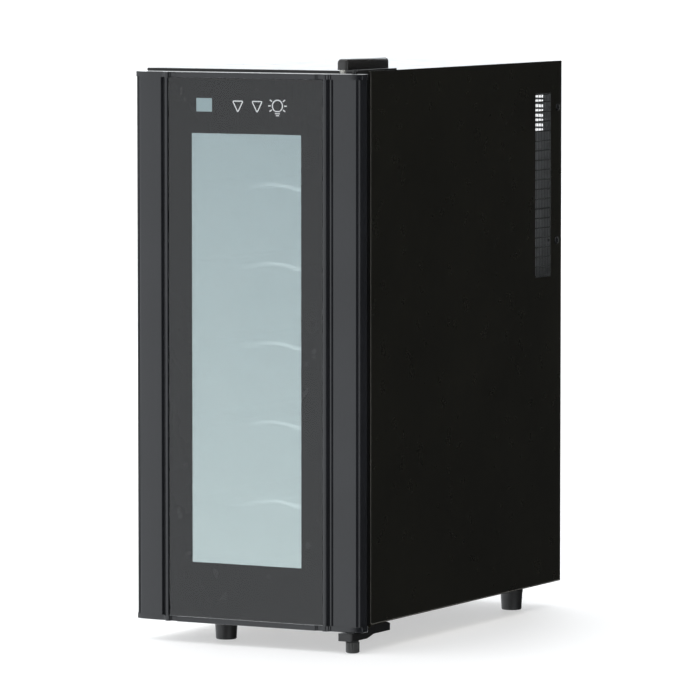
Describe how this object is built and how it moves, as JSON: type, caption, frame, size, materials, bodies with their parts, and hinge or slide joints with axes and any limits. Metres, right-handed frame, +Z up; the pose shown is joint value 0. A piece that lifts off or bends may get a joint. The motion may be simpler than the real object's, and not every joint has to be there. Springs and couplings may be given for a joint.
{
  "type": "wine cooler",
  "caption": "Slim free-standing thermoelectric wine cooler: black cabinet, hinged mirror-glass door with finger grooves, wavy wire shelves, side and rear vents.",
  "frame": {"origin": "on the floor, under the middle of the bounding box", "axes": "+Z up, the door faces -Y, +X towards the hinge side"},
  "size_m": [0.28, 0.499, 0.6395],
  "materials": {
    "cabinet_paint": "satin",
    "door_profile": "satin",
    "black_plastic": "satin",
    "liner": "satin",
    "foam": "matte",
    "glass": "gloss",
    "print": "gloss",
    "icon_ink": "gloss",
    "seal_rubber": "matte",
    "steel": "satin",
    "bushing": "satin",
    "screw_black": "satin",
    "shelf_wire": "polished",
    "aluminium": "satin",
    "module_ceramic": "matte",
    "board": "satin",
    "lamp_lens": "satin"
  },
  "bodies": {
    "cabinet": {"base_plate": "cabinet_paint", "bracket_foot": "seal_rubber", "bracket_screws": "screw_black", "cold_block": "aluminium", "cold_fan_frame": "black_plastic", "cold_sink": "aluminium", "cover_support": "bushing", "fan_cover": "black_plastic", "foam_insulation": "foam", "front_frame": "black_plastic", "front_left_foot": "seal_rubber", "hinge_cover": "black_plastic", "hinge_screws": "screw_black", "hot_fan_frame": "black_plastic", "hot_sink": "aluminium", "inner_liner": "liner", "lamp_board": "board", "lamp_lens": "lamp_lens", "lower_hinge_bracket": "cabinet_paint", "lower_hinge_pin": "steel", "mains_inlet": "black_plastic", "outer_shell": "cabinet_paint", "power_supply": "black_plastic", "rear_bulkhead": "cabinet_paint", "rear_cover": "cabinet_paint", "rear_left_foot": "seal_rubber", "rear_right_foot": "seal_rubber", "rear_screws": "screw_black", "rear_spacers": "seal_rubber", "side_screws_left": "screw_black", "side_screws_right": "screw_black", "side_vent_left": "black_plastic", "side_vent_right": "black_plastic", "thermoelectric_module": "module_ceramic", "upper_hinge_pin": "steel", "upper_hinge_plate": "cabinet_paint"},
    "door": {"column_left": "door_profile", "column_right": "door_profile", "cap_top": "door_profile", "cap_bottom": "door_profile", "door_glass": "glass", "glass_border": "print", "door_core": "liner", "inner_glass": "glass", "door_liner": "liner", "door_gasket": "seal_rubber", "display_lens": "glass", "control_board": "board", "touch_icons": "icon_ink", "upper_bushing": "bushing", "lower_bushing": "bushing"},
    "shelf_1": {"shelf_1": "shelf_wire"},
    "shelf_2": {"shelf_2": "shelf_wire"},
    "shelf_3": {"shelf_3": "shelf_wire"},
    "shelf_4": {"shelf_4": "shelf_wire"},
    "shelf_5": {"shelf_5": "shelf_wire"},
    "drip_tray": {"drip_tray": "liner"},
    "cold_fan_rotor": {"cold_fan_rotor": "black_plastic"},
    "hot_fan_rotor": {"hot_fan_rotor": "black_plastic"}
  },
  "joints": [
    {"name": "door_hinge", "type": "hinge", "parent": "cabinet", "child": "door", "pos_m": [0.127, -0.2345, 0.32], "axis": [0, 0, 1], "range_deg": [0, 110]},
    {"name": "shelf_1_slide", "type": "slide", "parent": "cabinet", "child": "shelf_1", "axis": [0, -1, 0], "range_m": [0, 0.03]},
    {"name": "shelf_2_slide", "type": "slide", "parent": "cabinet", "child": "shelf_2", "axis": [0, -1, 0], "range_m": [0, 0.03]},
    {"name": "shelf_3_slide", "type": "slide", "parent": "cabinet", "child": "shelf_3", "axis": [0, -1, 0], "range_m": [0, 0.03]},
    {"name": "shelf_4_slide", "type": "slide", "parent": "cabinet", "child": "shelf_4", "axis": [0, -1, 0], "range_m": [0, 0.03]},
    {"name": "shelf_5_slide", "type": "slide", "parent": "cabinet", "child": "shelf_5", "axis": [0, -1, 0], "range_m": [0, 0.03]},
    {"name": "drip_tray_slide", "type": "slide", "parent": "cabinet", "child": "drip_tray", "axis": [0, -1, 0], "range_m": [0, 0.02]},
    {"name": "cold_fan_rotor_spin", "type": "hinge", "parent": "cabinet", "child": "cold_fan_rotor", "pos_m": [0, 0.1175, 0.475], "axis": [0, 1, 0], "continuous": true},
    {"name": "hot_fan_rotor_spin", "type": "hinge", "parent": "cabinet", "child": "hot_fan_rotor", "pos_m": [0, 0.2145, 0.475], "axis": [0, 1, 0], "continuous": true}
  ]
}
